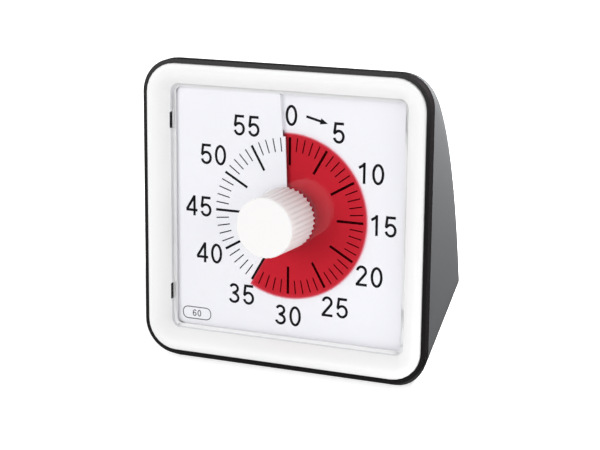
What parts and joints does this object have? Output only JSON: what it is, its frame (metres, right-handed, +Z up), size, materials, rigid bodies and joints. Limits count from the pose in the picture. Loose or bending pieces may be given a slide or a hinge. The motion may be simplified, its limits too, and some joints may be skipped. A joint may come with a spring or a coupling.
{
  "type": "visual countdown timer",
  "caption": "Square desk timer on a sloping base, with a ribbed centre knob that winds a red film disc through a slit dial, a quartz movement, a battery door and a sound switch.",
  "frame": {"origin": "on the ground, under the middle of the box that holds the timer at rest", "axes": "+X to the right as seen from the front, +Y towards the back, +Z up; the face looks towards -Y and leans back by 30 degrees"},
  "size_m": [0.086, 0.0542, 0.0771],
  "materials": {
    "case_grey": "satin moulded plastic with a very fine grain",
    "frame_black": "glossy moulded plastic",
    "face_white": "semi-gloss moulded plastic",
    "lens_clear": "clear flat acrylic window",
    "dial_white": "printed sheet, slightly blue white",
    "inner_white": "moulded plastic",
    "film_red": "deep red translucent film",
    "hub_red": "moulded plastic in the film's red",
    "steel": "turned and cut steel",
    "inner_black": "moulded plastic",
    "copper": "enamelled copper winding on its bobbin",
    "magnet_grey": "sintered magnet on a moulded pinion",
    "gear_white": "moulded acetal",
    "brass": "cut brass",
    "board_green": "solder mask",
    "cell_wrap": "plain printed wrap"
  },
  "bodies": {
    "timer_body": {"rear_case": "case_grey", "front_frame": "frame_black", "bezel": "face_white", "lens": "lens_clear", "dial_plate": "dial_white", "dial_carrier": "inner_white", "movement_housing": "inner_black", "movement_cover": "inner_black", "stator": "steel", "coil": "copper", "circuit_board": "board_green", "quartz_crystal": "steel", "chip": "inner_black", "alarm_contact": "brass", "buzzer": "inner_black", "battery_tray": "inner_black", "battery_cell": "cell_wrap", "positive_contact": "steel", "negative_spring": "steel", "switch_body": "inner_black", "case_screws": "steel", "carrier_screws": "steel", "movement_screws": "steel"},
    "knob_turn": {"knob": "face_white", "disc_hub": "hub_red", "knob_arbor": "steel", "clutch_spring": "steel"},
    "film": {"time_disc": "film_red"},
    "centre": {"centre_wheel": "brass"},
    "third": {"third_wheel": "gear_white"},
    "second": {"second_wheel": "gear_white"},
    "intermediate": {"intermediate_wheel": "gear_white"},
    "rotor": {"rotor": "magnet_grey"},
    "door": {"battery_door": "case_grey"},
    "switch": {"switch_slider": "frame_black"}
  },
  "joints": [
    {"name": "knob_turn", "type": "hinge", "parent": "timer_body", "child": "knob_turn", "pos_m": [0, -0.00629, 0.04031], "axis": [0, 0.866, -0.5], "range_deg": [-210, 150]},
    {"name": "film_climb", "type": "slide", "parent": "knob_turn", "child": "film", "axis": [0, -0.866, 0.5], "range_m": [-0.00073, 0.00052]},
    {"name": "second_spin", "type": "hinge", "parent": "timer_body", "child": "second", "pos_m": [-0.00021, 0.00103, 0.053], "axis": [0, 0.866, -0.5], "continuous": true},
    {"name": "centre_spin", "type": "hinge", "parent": "timer_body", "child": "centre", "pos_m": [0, -0.00629, 0.04031], "axis": [0, 0.866, -0.5], "continuous": true},
    {"name": "third_spin", "type": "hinge", "parent": "timer_body", "child": "third", "pos_m": [0.0118, -0.00216, 0.04747], "axis": [0, 0.866, -0.5], "continuous": true},
    {"name": "intermediate_spin", "type": "hinge", "parent": "timer_body", "child": "intermediate", "pos_m": [-0.01074, -0.00088, 0.04968], "axis": [0, 0.866, -0.5], "continuous": true},
    {"name": "rotor_spin", "type": "hinge", "parent": "timer_body", "child": "rotor", "pos_m": [-0.01624, -0.00481, 0.04287], "axis": [0, 0.866, -0.5], "continuous": true},
    {"name": "door_swing", "type": "hinge", "parent": "timer_body", "child": "door", "pos_m": [0, 0.01666, 0.00458], "axis": [-1, 0, 0], "range_deg": [0, 60]},
    {"name": "switch_slide", "type": "slide", "parent": "timer_body", "child": "switch", "axis": [1, 0, 0], "range_m": [0, 0.004]}
  ],
  "couplings": [
    {"joint": "film_climb", "follows": "knob_turn", "m_per_rad": 0.00019894},
    {"joint": "third_spin", "follows": "second_spin", "ratio": -0.13333},
    {"joint": "centre_spin", "follows": "second_spin", "ratio": 0.016667},
    {"joint": "intermediate_spin", "follows": "second_spin", "ratio": -6},
    {"joint": "rotor_spin", "follows": "second_spin", "ratio": 30}
  ]
}
